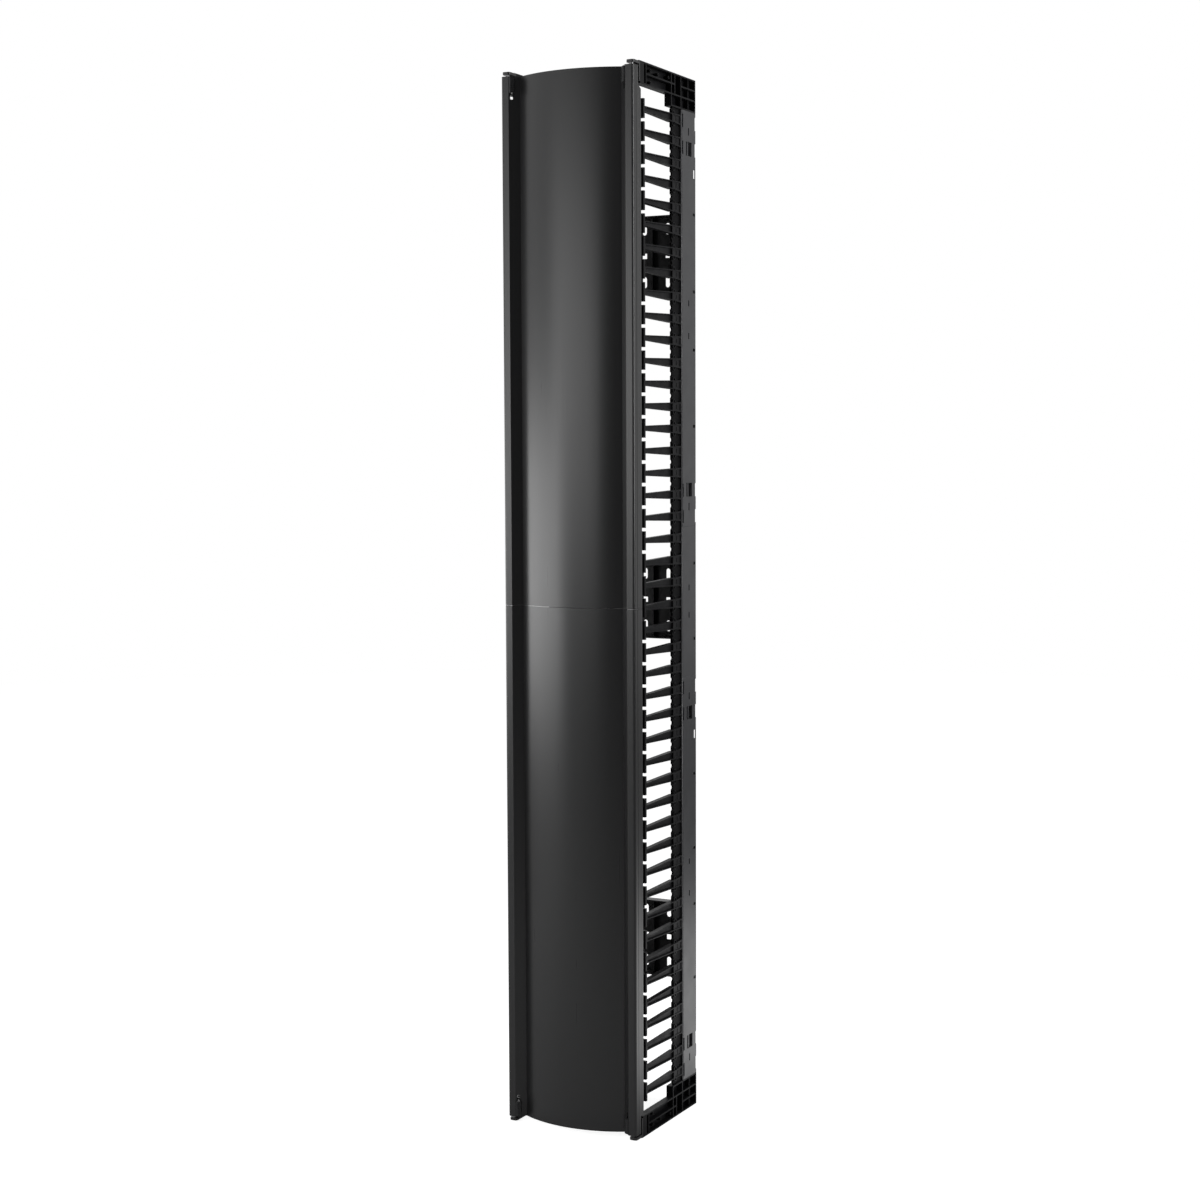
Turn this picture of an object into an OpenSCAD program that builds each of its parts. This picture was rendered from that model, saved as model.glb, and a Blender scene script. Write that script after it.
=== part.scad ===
// Vertical cable manager: a tall two-sided frame of finger combs and side
// plates, three rear cross panels and a two-piece curved door that hangs on
// spring-loaded pins at its four corners.
// Front faces -Y, +X is the right-hand side, Z = 0 is the floor.

/* [Overall] */
// Height of one rack unit
unit_h = 44.45; // [42:0.05:48]
// Rack units along each outer side section
outer_units = 19; // [15:1:23]
// Rack units along the middle side section
middle_units = 7; // [7:1:11]
// Outside width across the two side walls
frame_w = 295; // [230:1:400]
// General wall thickness of the mouldings
wall = 3; // [2.4:0.1:3.6]

/* [End arms] */
// Height of the end block behind the arm
end_h = 66.9; // [60:0.1:80]
// Height of the arm that reaches forward to the door
arm_h = 44; // [36:0.5:52]
// Width of the arm across the side wall
arm_w = 15; // [13:0.5:20]
// Depth of the pockets moulded into the arm's outer face
arm_pocket_d = 12; // [10:0.5:12.5]
// Depth of the solid post at the arm's front end
arm_post_d = 17; // [14:0.5:20]
// Width of the open slot behind the front post
arm_slot_w = 8; // [5:0.5:12]
// Outside radius of the small moulded bosses in the arm
arm_boss_r = 3.2; // [2.5:0.1:4]

/* [Fingers] */
// Distance of the finger ends behind the front of the arms
finger_setback = 17; // [12:0.5:22]
// Thickness of the T-shaped finger end, front to back
tee_t = 7; // [5:0.5:9]
// Height of the T-shaped finger end
tee_h = 37.8; // [30:0.1:40]
// Width of the T-shaped finger end
tee_w = 20; // [15:0.5:24]
// Length of a finger between its T end and the spine
finger_l = 126; // [90:1:160]
// Width of a finger
finger_w = 11; // [9:0.5:12]
// Height of a finger just behind its T end
finger_tip_h = 9.5; // [8:0.1:12]
// Height of a finger where it meets the spine
finger_root_h = 17.6; // [14:0.1:20]
// Thickness of the upper and lower flange of a finger
finger_flange = 2.2; // [1.6:0.1:2.6]
// Thickness of the upright web inside a finger
finger_web = 3; // [2:0.1:4]
// Length of the root that lies on the spine
root_l = 37; // [30:0.5:40]
// Outside radius of the two clip rings at a finger root
clip_ring_r = 6.5; // [5:0.1:7]
// Bore radius of the clip rings
clip_ring_bore_r = 3; // [2:0.1:3.5]

/* [Spine] */
// Depth of the spine, front to back
spine_d = 43; // [40:0.5:50]
// Thickness of the spine
spine_t = 4; // [3:0.1:5]
// Distance of the spine inside the outer face of the side plate
spine_inset = 4; // [3:0.1:5]

/* [Side plates] */
// Depth of the side plate, front to back
plate_d = 63; // [56:0.5:80]
// Width of the rear flange that carries the cross panels
rear_flange_w = 22; // [18:0.5:26]
// Width of the front wall that the spine butts against
front_wall_w = 8; // [8:0.5:12]

/* [Cross panels] */
// Height of a cross panel
panel_h = 160; // [140:1:180]
// Depth of the panel's upper and lower flange
panel_flange_d = 20; // [14:0.5:26]
// Distance of the outer panels from the end of the rack units, in units
panel_at_units = 6.4; // [6.2:0.05:6.6]
// Distance of the inner slot columns from the middle
slot_x_inner = 33.5; // [28:0.5:40]
// Distance of the outer slot columns from the middle
slot_x_outer = 86.5; // [75:0.5:90]
// Width of the lacing slots
slot_w = 10; // [8:0.5:12]
// Length of the lacing slots
slot_l = 23; // [20:0.5:26]
// Height of the lacing slots above and below the panel's middle
slot_z = 54.5; // [50:0.5:58]
// Side of the square hole between the lacing slots
square_hole = 11; // [9:0.5:13]
// Distance of the rack bolt holes from the middle
bolt_hole_x = 112; // [98:0.5:116]
// Spacing of the rack bolt holes up and down, in rack units
bolt_hole_units = 2; // [1:1:3]
// Radius of the rack bolt holes
bolt_hole_r = 3.5; // [2.5:0.1:4.5]

/* [Door] */
// Distance of the door's crown in front of the arms
door_crown = 39; // [36:0.5:44]
// Distance of the rail faces in front of the arms
rail_front = 27; // [26:0.5:30]
// Gap between the rail backs and the arms
rail_gap = 2.5; // [2.2:0.1:3]
// Width of the flat front face of a rail
rail_w = 17; // [15:0.5:18]
// Depth of the valley between a rail and the curved panel
valley_d = 17; // [16:0.5:18]
// Radius of the rail's outer front edge
rail_edge_r = 5; // [3:0.5:6]
// Radius of the rail's outer rear edge, which passes the arm as the door swings
rail_back_r = 4; // [3.6:0.1:6]
// Wall thickness of the rails
rail_wall = 2.2; // [1.8:0.1:2.4]
// Distance of the edge strips' rear edge behind the front of the arms
strip_back = 7; // [4:0.5:8]
// Thickness of the edge strip behind each rail
strip_t = 3; // [2:0.1:4]
// Thickness of the curved door panel
skin_t = 2.5; // [2:0.1:3]
// Gap between the two door halves
door_seam = 0.6; // [0.3:0.1:1]
// Height of the door's lower edge above the floor
door_lift = 11; // [10:0.5:14]
// Length of the splice key inside each rail
splice_l = 120; // [80:5:160]

/* [Hinge pins and latches] */
// Radius of the hinge and latch pins
pin_r = 3; // [2.5:0.1:3.4]
// Distance of the pin centre inside the outer face of the rail
pin_inset = 9; // [8.6:0.1:10]
// Distance of the pin centre in front of the arms
pin_front = 14; // [13.6:0.1:15]
// Travel of a latch pin
latch_travel = 9; // [7:0.5:9]
// Radial clearance of a pin in its bores
pin_clear = 0.08; // [0.05:0.01:0.1]
// Thickness of the hinge lip
lip_t = 5.5; // [4:0.1:6]
// Distance of the hinge lip from the end of the frame
lip_z = 1.5; // [0:0.5:2.5]
// Width of the hinge lip
lip_w = 17; // [13:0.5:17]
// Length of the hinge lip in front of the arms
lip_l = 24; // [22:0.5:25]
// Height of the hinge bracket's upright plate
bracket_h = 40; // [34:0.5:44]
// Length of the latch housing inside a rail
housing_l = 58; // [56:0.5:66]
// Length of the thumb piece
thumb_l = 30; // [28:0.5:32]
// Radius of the spring's coil
spring_r = 4.4; // [4.1:0.1:4.6]
// Turns of the spring
spring_turns = 6; // [4:1:7]

/* [Fit and fasteners] */
// Clearance between parts that slide into one another
fit = 0.2; // [0.1:0.05:0.3]
// Radius of the screw shanks
screw_r = 1.8; // [1.5:0.1:2]
// Radius of the countersunk screw heads
screw_head_r = 3.6; // [3:0.1:4]
// Length of the screws
screw_l = 11; // [8:0.5:12]
// Clearance of a screw in its hole
screw_clear = 0.1; // [0.05:0.01:0.2]

/* [Hidden] */
$fn = 48;
units = 2 * outer_units + middle_units;
total_h = units * unit_h + 2 * end_h;
half_w = frame_w / 2;

// Depth layout, measured back from the front of the arms
tee_y = finger_setback;
arm_y = tee_y + tee_t;
spine_y = arm_y + finger_l;
plate_y = spine_y + spine_d;
frame_d = plate_y + plate_d;

// The origin is at the middle of the footprint, on the floor
y_front = (door_crown - frame_d) / 2;
function fy(d) = y_front + d;
function unit_z(u) = end_h + u * unit_h;

section_units = [outer_units, middle_units, outer_units];
section_start = [0, outer_units, outer_units + middle_units];

// Mid-heights of the three cross panels
panel_zs = [unit_z(panel_at_units), total_h / 2, unit_z(units - panel_at_units)];
// Height of each hook tab above and below the panel's middle
tab_inset = 1.6;
tab_z = panel_h / 2 - tab_inset;
tab_h = 5.4;
tab_slot_d = 13;
// Distance of a tab's end inside the outer face of the side plate
tab_recess = 2;
panel_y = plate_y + plate_d - 2 * wall;
panel_half_w = half_w - wall - fit;
panel_boss_x = half_w - 13.5;
panel_boss_inset = 20;
panel_boss_z = panel_h / 2 - panel_boss_inset;
panel_boss_l = 8;

end_boss_x = half_w - 8;
end_boss_r = 4;
end_boss_l = 16;
end_boss_front = 14;
end_boss_rear = 16;
end_boss_ys = [plate_y + end_boss_front, frame_d - end_boss_rear];
dowel_l = 24;
edge_cut_h = 27;
edge_cut_d = 5;
// Floor left under the recesses in the plate's front edge
edge_cut_floor = 0.8;
// Small slots and the lanced window, measured back from the plate's front edge
plate_slot_at = 28;
plate_slot_d = 4;
plate_window_at = 18;
plate_window_d = 26;

door_h = total_h - 2 * door_lift;
door_half_h = (door_h - door_seam) / 2;
valley_x = half_w - rail_w - valley_d;
valley_front = rail_front - valley_d;
crown_rise = door_crown - valley_front;
crown_r = (valley_x * valley_x + crown_rise * crown_rise) / (2 * crown_rise);
pin_x = half_w - pin_inset;
pin_y = -pin_front;
slope_angle = 45;
// Shallow groove along the outer side of a rail
side_groove_w = 1.2;
side_groove_t = 0.7;
// Gap left between an arm and the end of an edge strip
strip_gap = 5;
strip_bevel = 5;
strip_w0 = arm_h - door_lift + strip_gap;

bracket_t = 3.5;
lip_corner_r = 5;
bracket_screw_zs = [14, 31];

// Distances along a rail, measured from the door's end towards its middle
guide_l = 8;
stem_w0 = 24;
stem_l = 9;
sleeve_l = 12;
seat_l = 6;
sleeve_r = 6;
stem_t = 5;
thumb_w0 = 3;
thumb_t = 5;
thumb_b = 12;
// Shift of the thumb piece along the slope, away from the rail's front edge
thumb_shift = 3;
spring_wire_r = 0.45;
pin_tip_gap = 0.8;
pin_bevel = 1;

// ---------- helpers ----------

// Puts right-hand geometry on the right (side = 1) or the left (side = -1)
module on_side(side) {
    if (side > 0) children();
    else mirror([1, 0, 0]) children();
}

// Puts bottom-end geometry at the bottom (end = -1) or the top (end = 1)
module at_end(end) {
    if (end < 0) children();
    else translate([0, 0, total_h]) mirror([0, 0, 1]) children();
}

// Box given by its two corners, with y measured back from the arms' front
module block(x, d, z) {
    translate([x[0], fy(d[0]), z[0]])
        cube([x[1] - x[0], d[1] - d[0], z[1] - z[0]]);
}

// Cylinder along X, at distance d behind the arms' front
module x_rod(x, d, z, r) {
    translate([x[0], fy(d), z]) rotate([0, 90, 0]) cylinder(r = r, h = x[1] - x[0]);
}

// Cylinder along Y that starts at distance d behind the arms' front
module y_rod(x, d, z, r, l) {
    translate([x, fy(d), z]) rotate([-90, 0, 0]) cylinder(r = r, h = l);
}

// Countersunk screw along +Z, with its flat head at z = 0
module countersunk_screw() {
    cylinder(r = screw_r, h = screw_l);
    cylinder(r1 = screw_head_r, r2 = screw_r, h = screw_head_r - screw_r);
}

// Hole for the countersunk screw, through everything for the length l
module countersunk_hole(l) {
    head = screw_head_r + screw_clear;
    shank = screw_r + screw_clear;
    translate([0, 0, -1]) cylinder(r = shank, h = l + 1);
    cylinder(r1 = head, r2 = shank, h = head - shank);
    translate([0, 0, -1]) cylinder(r = head, h = 1);
}

// ---------- side plates ----------

// Recesses for clips in the front and rear edge of the plate
module edge_cuts(z) {
    z_range = [z, z + edge_cut_h];
    block([half_w - wall + edge_cut_floor, half_w + 1], [plate_y - 1, plate_y + edge_cut_d], z_range);
    block([half_w - wall / 2, half_w + 1], [frame_d - edge_cut_d, frame_d + 1], z_range);
}

// Slot, lanced window and edge recesses near the end of an outer section
module end_cluster(z_end, up) {
    function at(u) = z_end + up * u * unit_h;
    for (u = [0.48, 1.69]) edge_cuts(at(u) - edge_cut_h / 2);
    slot_y = plate_y + plate_slot_at;
    window_y = plate_y + plate_window_at;
    block([half_w - wall - 1, half_w + 1], [slot_y, slot_y + plate_slot_d], [at(0.92) - 7.5, at(0.92) + 7.5]);
    difference() {
        block([half_w - wall - 1, half_w + 1], [window_y, window_y + plate_window_d],
            [at(1.7) - 14, at(1.7) + 14]);
        translate([half_w - wall + 0.6, fy(window_y + 6), at(1.7) - 15])
            rotate([0, 0, 12]) cube([1.8, 12, 30]);
    }
}

// One section of the side plate, from unit u0 over n units
module side_plate(u0, n, outer) {
    z0 = unit_z(u0);
    z1 = unit_z(u0 + n);
    tab_us = outer ? [panel_at_units, n - panel_at_units] : [n / 2];
    slot_us = outer ? [8.72, 10.22] : [2.84, 4.12];
    color("#3a3c40") difference() {
        union() {
            block([half_w - wall, half_w], [plate_y, frame_d], [z0, z1]);
            block([half_w - front_wall_w, half_w], [plate_y, plate_y + wall], [z0, z1]);
            block([half_w - rear_flange_w, half_w], [frame_d - wall, frame_d], [z0, z1]);
            for (d = end_boss_ys, z = [z0, z1 - end_boss_l])
                translate([end_boss_x, fy(d), z]) {
                    cylinder(r = end_boss_r, h = end_boss_l);
                    translate([0, -wall / 2, 0]) cube([half_w - wall - end_boss_x + 0.5, wall, end_boss_l]);
                }
            // Stiffening ribs inside the channel, kept clear of the cross panels
            for (u = [2 : 3 : n - 1])
                if (min([for (t = tab_us) abs(u - t)]) > panel_h / unit_h / 2 + 0.1)
                    block([half_w - front_wall_w, half_w - wall + 0.5], [plate_y + 1, frame_d - wall + 1],
                        [z0 + u * unit_h - 1, z0 + u * unit_h + 1]);
        }
        // Dowel and screw bores in the end bosses
        for (d = end_boss_ys, z = [z0 - 1, z1 - end_boss_l - 1])
            translate([end_boss_x, fy(d), z]) cylinder(r = screw_r + fit / 2, h = end_boss_l + 2);
        // Notches for the hook tabs of a cross panel, and its screw holes
        for (t = tab_us, s = [-1, 1]) {
            tz = z0 + t * unit_h + s * tab_z;
            block([half_w - wall - 1, half_w + 1], [frame_d - tab_slot_d, frame_d - wall],
                [tz - tab_h / 2 - fit, tz + tab_h / 2 + fit]);
            translate([panel_boss_x, fy(frame_d), z0 + t * unit_h + s * panel_boss_z])
                rotate([90, 0, 0]) countersunk_hole(wall + 1);
        }
        // Small slots half-way back
        slot_y = plate_y + plate_slot_at;
        for (u = slot_us)
            block([half_w - wall - 1, half_w + 1], [slot_y, slot_y + plate_slot_d],
                [z1 - u * unit_h - 6, z1 - u * unit_h + 6]);
        if (outer) {
            end_cluster(z0, 1);
            end_cluster(z1, -1);
            // Open corner slot near the upper end
            block([half_w - 12, half_w - 1.2], [frame_d - 10, frame_d + 1],
                [z1 - 2.98 * unit_h, z1 - 2.57 * unit_h]);
            block([half_w - wall - 1, half_w + 1], [frame_d - 10, frame_d - 3.5],
                [z1 - 2.98 * unit_h, z1 - 2.57 * unit_h]);
        }
    }
}

// ---------- spines ----------

// One section of the spine that carries the finger roots
module spine(u0, n) {
    x1 = half_w - spine_inset;
    color("#17181a") difference() {
        union() {
            block([x1 - spine_t, x1], [spine_y, plate_y], [unit_z(u0), unit_z(u0 + n)]);
            // Inner stiffening rib along the front edge
            block([x1 - spine_t - 3, x1 - spine_t + 0.5], [spine_y + 12, spine_y + 15],
                [unit_z(u0), unit_z(u0 + n)]);
        }
        for (i = [0 : n - 1], s = [-1, 1]) {
            z = unit_z(u0 + i + 0.5) + s * (finger_root_h / 2 + 2.9);
            // Snap slots behind each finger root
            block([x1 - spine_t - 1, x1 + 1], [plate_y - 11, plate_y - 6.5], [z - 1.6, z + 1.6]);
            // Rounded relief in the front edge between two fingers
            x_rod([x1 - spine_t - 1, x1 + 1], spine_y, unit_z(u0 + i + 0.5) + s * unit_h / 2, 4);
        }
    }
}

// ---------- fingers ----------

// Side outline of a finger, inset by t on its long edges; x is depth, y is height
module finger_outline(d0, d1, t) {
    function half_h(d) = (finger_tip_h + (finger_root_h - finger_tip_h) * (d - arm_y) / finger_l) / 2 - t;
    polygon([[d0, -half_h(d0)], [d1, -half_h(d1)], [d1, half_h(d1)], [d0, half_h(d0)]]);
}

// Extrudes a depth and height outline along X between two x values
module across(x0, x1) {
    translate([x0, fy(0), 0]) rotate([90, 0, 90]) linear_extrude(x1 - x0) children();
}

module finger() {
    x1 = half_w;
    x0 = x1 - finger_w;
    pocket = (finger_w - finger_web) / 2;
    root_x = x1 - spine_inset;
    difference() {
        union() {
            across(x0, x1) finger_outline(arm_y - 1, spine_y + root_l, 0);
            for (s = [-1, 1])
                x_rod([root_x, root_x + 2.2], spine_y + 8, s * (finger_root_h / 2 + 0.6), clip_ring_r);
        }
        // The root is thinner, to lie on the spine
        block([x0 - 1, root_x], [spine_y, spine_y + root_l + 1], [-finger_root_h, finger_root_h]);
        // Channels along both faces leave flanges and a web
        across(x1 - pocket, x1 + 1) finger_outline(arm_y + 3, spine_y - 3, finger_flange);
        across(x0 - 1, x0 + pocket) finger_outline(arm_y + 3, spine_y - 3, finger_flange);
        // Shallow recess in the root, with a clip window at its middle
        across(x1 - 1.5, x1 + 1) finger_outline(spine_y + 2, spine_y + root_l - 3, finger_flange + 0.6);
        block([root_x - 1, x1 + 1], [spine_y + 16, spine_y + 18.2], [-4.5, 4.5]);
        for (s = [-1, 1])
            x_rod([root_x - 1, x1 + 1], spine_y + 8, s * (finger_root_h / 2 + 2.2), clip_ring_bore_r);
    }
    tee_end();
}

// T-shaped end with a rounded front and bevelled inner edge
module tee_end() {
    bevel = 2;
    translate([0, fy(tee_y), -tee_h / 2]) linear_extrude(tee_h) polygon([
        [half_w - tee_w, bevel], [half_w - tee_w + bevel, 0], [half_w - 1, 0], [half_w, 1],
        [half_w, tee_t], [half_w - tee_w + bevel, tee_t], [half_w - tee_w, tee_t - bevel]]);
}

module fingers(u0, n) {
    color("#222326") for (i = [0 : n - 1]) translate([0, 0, unit_z(u0 + i + 0.5)]) finger();
}

// ---------- end arms ----------

// Pocket in the outer face of an end arm
module arm_pocket(d, z) {
    block([half_w - arm_pocket_d, half_w + 1], d, z);
}

// Right-hand bottom arm: post, ribbed beam and end block
module end_arm() {
    color("#1c1d20") end_arm_body();
}

module end_arm_body() {
    x0 = half_w - arm_w;
    rib = wall;
    slot_y = bracket_t + arm_post_d;
    beam_y = slot_y + arm_slot_w + rib;
    rows = [[rib, arm_h / 2 - rib / 2], [arm_h / 2 + rib / 2, arm_h - rib]];
    post_x = half_w - 5;
    // The end block starts a little in front of the spine, and its rear part behind the plate's front
    block_y = spine_y - 8;
    rear_y = plate_y - 4;
    difference() {
        union() {
            block([x0, half_w], [bracket_t, frame_d], [0, arm_h]);
            block([x0, half_w], [block_y, frame_d], [0, end_h]);
        }
        // Open slot behind the post
        arm_pocket([slot_y, slot_y + arm_slot_w], [rib, arm_h - rib]);
        // Beam and end block pockets between the ribs
        for (r = rows) {
            arm_pocket([beam_y, block_y], r);
            arm_pocket([block_y + rib, spine_y + 8], r);
            arm_pocket([rear_y, frame_d - wall], r);
        }
        arm_pocket([spine_y + 8 + rib, rear_y - rib], [rib, arm_h - rib]);
        arm_pocket([block_y + rib, rear_y - rib], [arm_h, end_h - rib]);
        arm_pocket([rear_y, frame_d - wall], [arm_h, end_h - rib]);
        // Screw holes for the hinge bracket and for the side plate
        for (z = bracket_screw_zs)
            y_rod(pin_x, bracket_t - 1, z, screw_r + screw_clear, screw_l + 2);
        for (d = end_boss_ys)
            translate([end_boss_x, fy(d), end_h - rib - 1]) cylinder(r = screw_r + screw_clear, h = rib + 2);
    }
    // Small hollow bosses in the beam pockets
    low_z = rows[0][0] + 9.5;
    high_z = arm_h - rib - 5.5;
    beam_mid = (beam_y + block_y) / 2;
    for (p = [[beam_y + 21, low_z], [beam_mid, low_z + 2], [beam_y + 21, high_z], [block_y - 8, low_z]])
        difference() {
            x_rod([half_w - arm_pocket_d - 0.5, half_w - 1.5], p[0], p[1], arm_boss_r);
            x_rod([half_w - 5, half_w], p[0], p[1], arm_boss_r / 2);
        }
    // Upright ribs behind the slot and in the end block
    block([post_x, half_w], [rear_y - 3, rear_y - 1.5], [rib / 2, arm_h - rib / 2]);
    mid_y = (plate_y + frame_d) / 2;
    block([half_w - arm_pocket_d - 0.5, half_w - 2], [mid_y - 1, mid_y + 1], [rib / 2, end_h - rib / 2]);
}

// ---------- hinge brackets ----------

// Right-hand bottom bracket: upright plate and forward lip with the pin hole
module hinge_bracket() {
    x0 = half_w - arm_w;
    color("#4a4c50") difference() {
        union() {
            block([x0, half_w], [0, bracket_t], [0, bracket_h]);
            translate([0, y_front, lip_z]) linear_extrude(lip_t) lip_outline();
        }
        translate([pin_x, y_front + pin_y, -1]) cylinder(r = pin_r + pin_clear, h = lip_z + lip_t + 2);
        for (z = bracket_screw_zs)
            translate([pin_x, y_front, z]) rotate([-90, 0, 0]) countersunk_hole(bracket_t + 1);
    }
}

// Plan of the lip, with rounded front corners
module lip_outline() {
    a = pin_x - lip_w / 2;
    b = pin_x + lip_w / 2;
    translate([a, -lip_l + lip_corner_r]) square([lip_w, lip_l - lip_corner_r + bracket_t]);
    translate([a + lip_corner_r, -lip_l]) square([lip_w - 2 * lip_corner_r, lip_corner_r + 1]);
    for (x = [a + lip_corner_r, b - lip_corner_r])
        translate([x, -lip_l + lip_corner_r]) circle(r = lip_corner_r);
}

// ---------- cross panels ----------

module lacing_slot(x, z) {
    half = (slot_l - slot_w) / 2;
    block([x - slot_w / 2, x + slot_w / 2], [panel_y - 1, panel_y + wall + 1], [z - half, z + half]);
    for (s = [-1, 1]) y_rod(x, panel_y - 1, z + s * half, slot_w / 2, wall + 2);
}

module cross_panel(z) {
    rib_x = (slot_x_inner + slot_x_outer) / 2 - 5;
    flange_z = (panel_h - wall) / 2;
    panel_back = panel_y + wall;
    color("#1a1b1d") difference() {
        union() {
            block([-panel_half_w, panel_half_w], [panel_y, panel_back], [z - panel_h / 2, z + panel_h / 2]);
            // Upper and lower flange
            for (s = [-1, 1])
                block([-panel_half_w + 6, panel_half_w - 6], [panel_y - panel_flange_d, panel_y + 1],
                    [z + s * flange_z - wall / 2, z + s * flange_z + wall / 2]);
            // Upright ribs on the inner face
            for (x = [-rib_x, 0, rib_x])
                block([x - 1.2, x + 1.2], [panel_y - 8, panel_y + 1], [z - flange_z, z + flange_z]);
            // Hook tabs in the side plates
            for (sx = [-1, 1], sz = [-1, 1])
                on_side(sx) block([panel_half_w - 1, half_w - tab_recess],
                    [frame_d - tab_slot_d + 1, panel_back],
                    [z + sz * tab_z - tab_h / 2, z + sz * tab_z + tab_h / 2]);
            // Screw bosses
            for (sx = [-1, 1], sz = [-1, 1])
                y_rod(sx * panel_boss_x, panel_y - panel_boss_l, z + sz * panel_boss_z, 4, panel_boss_l + 1);
        }
        for (x = [slot_x_inner, slot_x_outer], sx = [-1, 1]) {
            for (sz = [-1, 1]) lacing_slot(sx * x, z + sz * slot_z);
            block([sx * x - square_hole / 2, sx * x + square_hole / 2], [panel_y - 1, panel_y + wall + 1],
                [z - square_hole / 2, z + square_hole / 2]);
        }
        for (sx = [-1, 1], sz = [-1, 1]) {
            y_rod(sx * panel_boss_x, panel_y - panel_boss_l - 1, z + sz * panel_boss_z, screw_r + screw_clear,
                panel_boss_l + wall + 3);
            y_rod(sx * bolt_hole_x, panel_y - 1, z + sz * bolt_hole_units * unit_h / 2, bolt_hole_r,
                wall + 2);
        }
    }
}

// ---------- door ----------

// Cuts a square corner of a plan outline to a radius; sx and sy point to the corner
module round_corner(x, y, r, sx, sy) {
    translate([x, y]) scale([sx, sy]) difference() {
        translate([-r, -r]) square(r + 1);
        translate([-r, -r]) circle(r = r);
    }
}

// Right-hand rail in plan, drawn in from its surface by t; y is measured from the arms' front
module rail_outline(t) {
    x1 = half_w - t;
    front = -rail_front + t;
    back = -rail_gap - t;
    miter = t * tan(slope_angle / 2);
    difference() {
        polygon([
            [half_w - rail_w + miter, front], [x1, front], [x1, back],
            [valley_x + t, back], [valley_x + t, -valley_front + miter]]);
        round_corner(x1, front, rail_edge_r - t, 1, -1);
        // The outer rear corner is rounded inside only; the door's ends round it outside too
        if (t > 0) round_corner(x1, back, rail_back_r - t, 1, 1);
    }
}

// Curved panel in plan, between the two valleys
module skin_outline() {
    intersection() {
        difference() {
            translate([0, -door_crown + crown_r]) circle(r = crown_r, $fn = 180);
            translate([0, -door_crown + crown_r]) circle(r = crown_r - skin_t, $fn = 180);
        }
        translate([-valley_x - 1.5, -door_crown - 1]) square([2 * valley_x + 3, crown_rise + 4]);
    }
}

module door_profile() {
    skin_outline();
    for (side = [-1, 1])
        scale([side, 1]) difference() {
            rail_outline(0);
            rail_outline(rail_wall);
            translate([half_w - side_groove_t, pin_y - side_groove_w / 2]) square([1, side_groove_w]);
        }
}

// Place on a rail's slope: local x runs outwards, square to the slope
module on_slope() {
    translate([pin_x, y_front + pin_y, 0]) rotate([0, 0, 180 + slope_angle]) children();
}

// Cuts near one end of the right-hand rail, with w from the door's end
module rail_cuts() {
    // Rounded rear corner beside the arm
    translate([0, y_front, -1]) linear_extrude(strip_w0 + 1)
        round_corner(half_w, -rail_gap, rail_back_r, 1, 1);
    on_slope() translate([sleeve_r, -thumb_shift - stem_t / 2 - 0.5, stem_w0 - 0.5])
        cube([14, stem_t + 1, stem_l + latch_travel + 4]);
    translate([pin_x - 8.5, y_front - rail_gap - rail_wall - 3, stem_w0 + stem_l])
        cube([11, rail_wall + 4, latch_travel + 6]);
}

// Half of the door; the lower half, or the upper one by mirroring
module door_half() {
    color("#3c3d40") difference() {
        translate([0, y_front, door_lift]) linear_extrude(door_half_h) door_profile();
        for (side = [-1, 1]) on_side(side) translate([0, 0, door_lift]) rail_cuts();
    }
}

// Strip on the rail's rear edge, which closes the gap in front of the finger ends
module edge_strip() {
    color("#3c3d40") translate([0, 0, door_lift]) across(half_w - strip_t, half_w) polygon([
        [-rail_gap, strip_w0], [strip_back, strip_w0 + strip_bevel],
        [strip_back, door_half_h], [-rail_gap, door_half_h]]);
}

// Splice key that joins the two halves inside a rail
module door_splice() {
    color("#2a2b2e") translate([0, y_front, total_h / 2 - splice_l / 2]) linear_extrude(splice_l)
        difference() {
            rail_outline(rail_wall + fit);
            translate([pin_x, pin_y]) circle(r = 4.5);
        }
}

// ---------- latches ----------

// Carries latch geometry to the door's end; w runs from the end to the middle
module at_latch(side, end) {
    at_end(end) on_side(side) translate([0, 0, door_lift]) children();
}

// Cartridge that fills the rail's end and guides the pin
module latch_housing() {
    color("#202124") difference() {
        translate([0, y_front, 0]) linear_extrude(housing_l) rail_outline(rail_wall + fit);
        // Room for the sleeve and spring; only the back wall is left
        translate([0, y_front - rail_front, guide_l])
            cube([half_w, rail_front - rail_gap - rail_wall - fit - 2, housing_l - guide_l - seat_l]);
        translate([pin_x - 8.5, y_front - rail_gap - rail_wall - 3, stem_w0 + stem_l])
            cube([11, 4, latch_travel + 6]);
        translate([pin_x, y_front + pin_y, -1]) cylinder(r = pin_r + pin_clear, h = housing_l + 2);
    }
}

module latch_pin() {
    tip = door_lift - lip_z - pin_tip_gap;
    color("silver") translate([pin_x, y_front + pin_y, -tip]) {
        cylinder(r1 = pin_r - pin_bevel, r2 = pin_r, h = pin_bevel);
        translate([0, 0, pin_bevel]) cylinder(r = pin_r, h = tip - pin_bevel + housing_l - 1);
    }
}

// Thumb piece with its stem and the sleeve that grips the pin
module latch_thumb() {
    reach = (pin_x + pin_y - (half_w - rail_w - rail_front)) * sin(slope_angle);
    color("#2c2d30") difference() {
        union() {
            translate([pin_x, y_front + pin_y, stem_w0]) cylinder(r = sleeve_r, h = sleeve_l);
            on_slope() translate([0, -thumb_shift - stem_t / 2, stem_w0])
                cube([reach + fit + 0.5, stem_t, stem_l]);
            on_slope() translate([reach + fit, -thumb_shift - thumb_b / 2, thumb_w0]) thumb_pad();
        }
        translate([pin_x, y_front + pin_y, -1]) cylinder(r = pin_r + 0.02, h = housing_l);
    }
}

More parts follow.
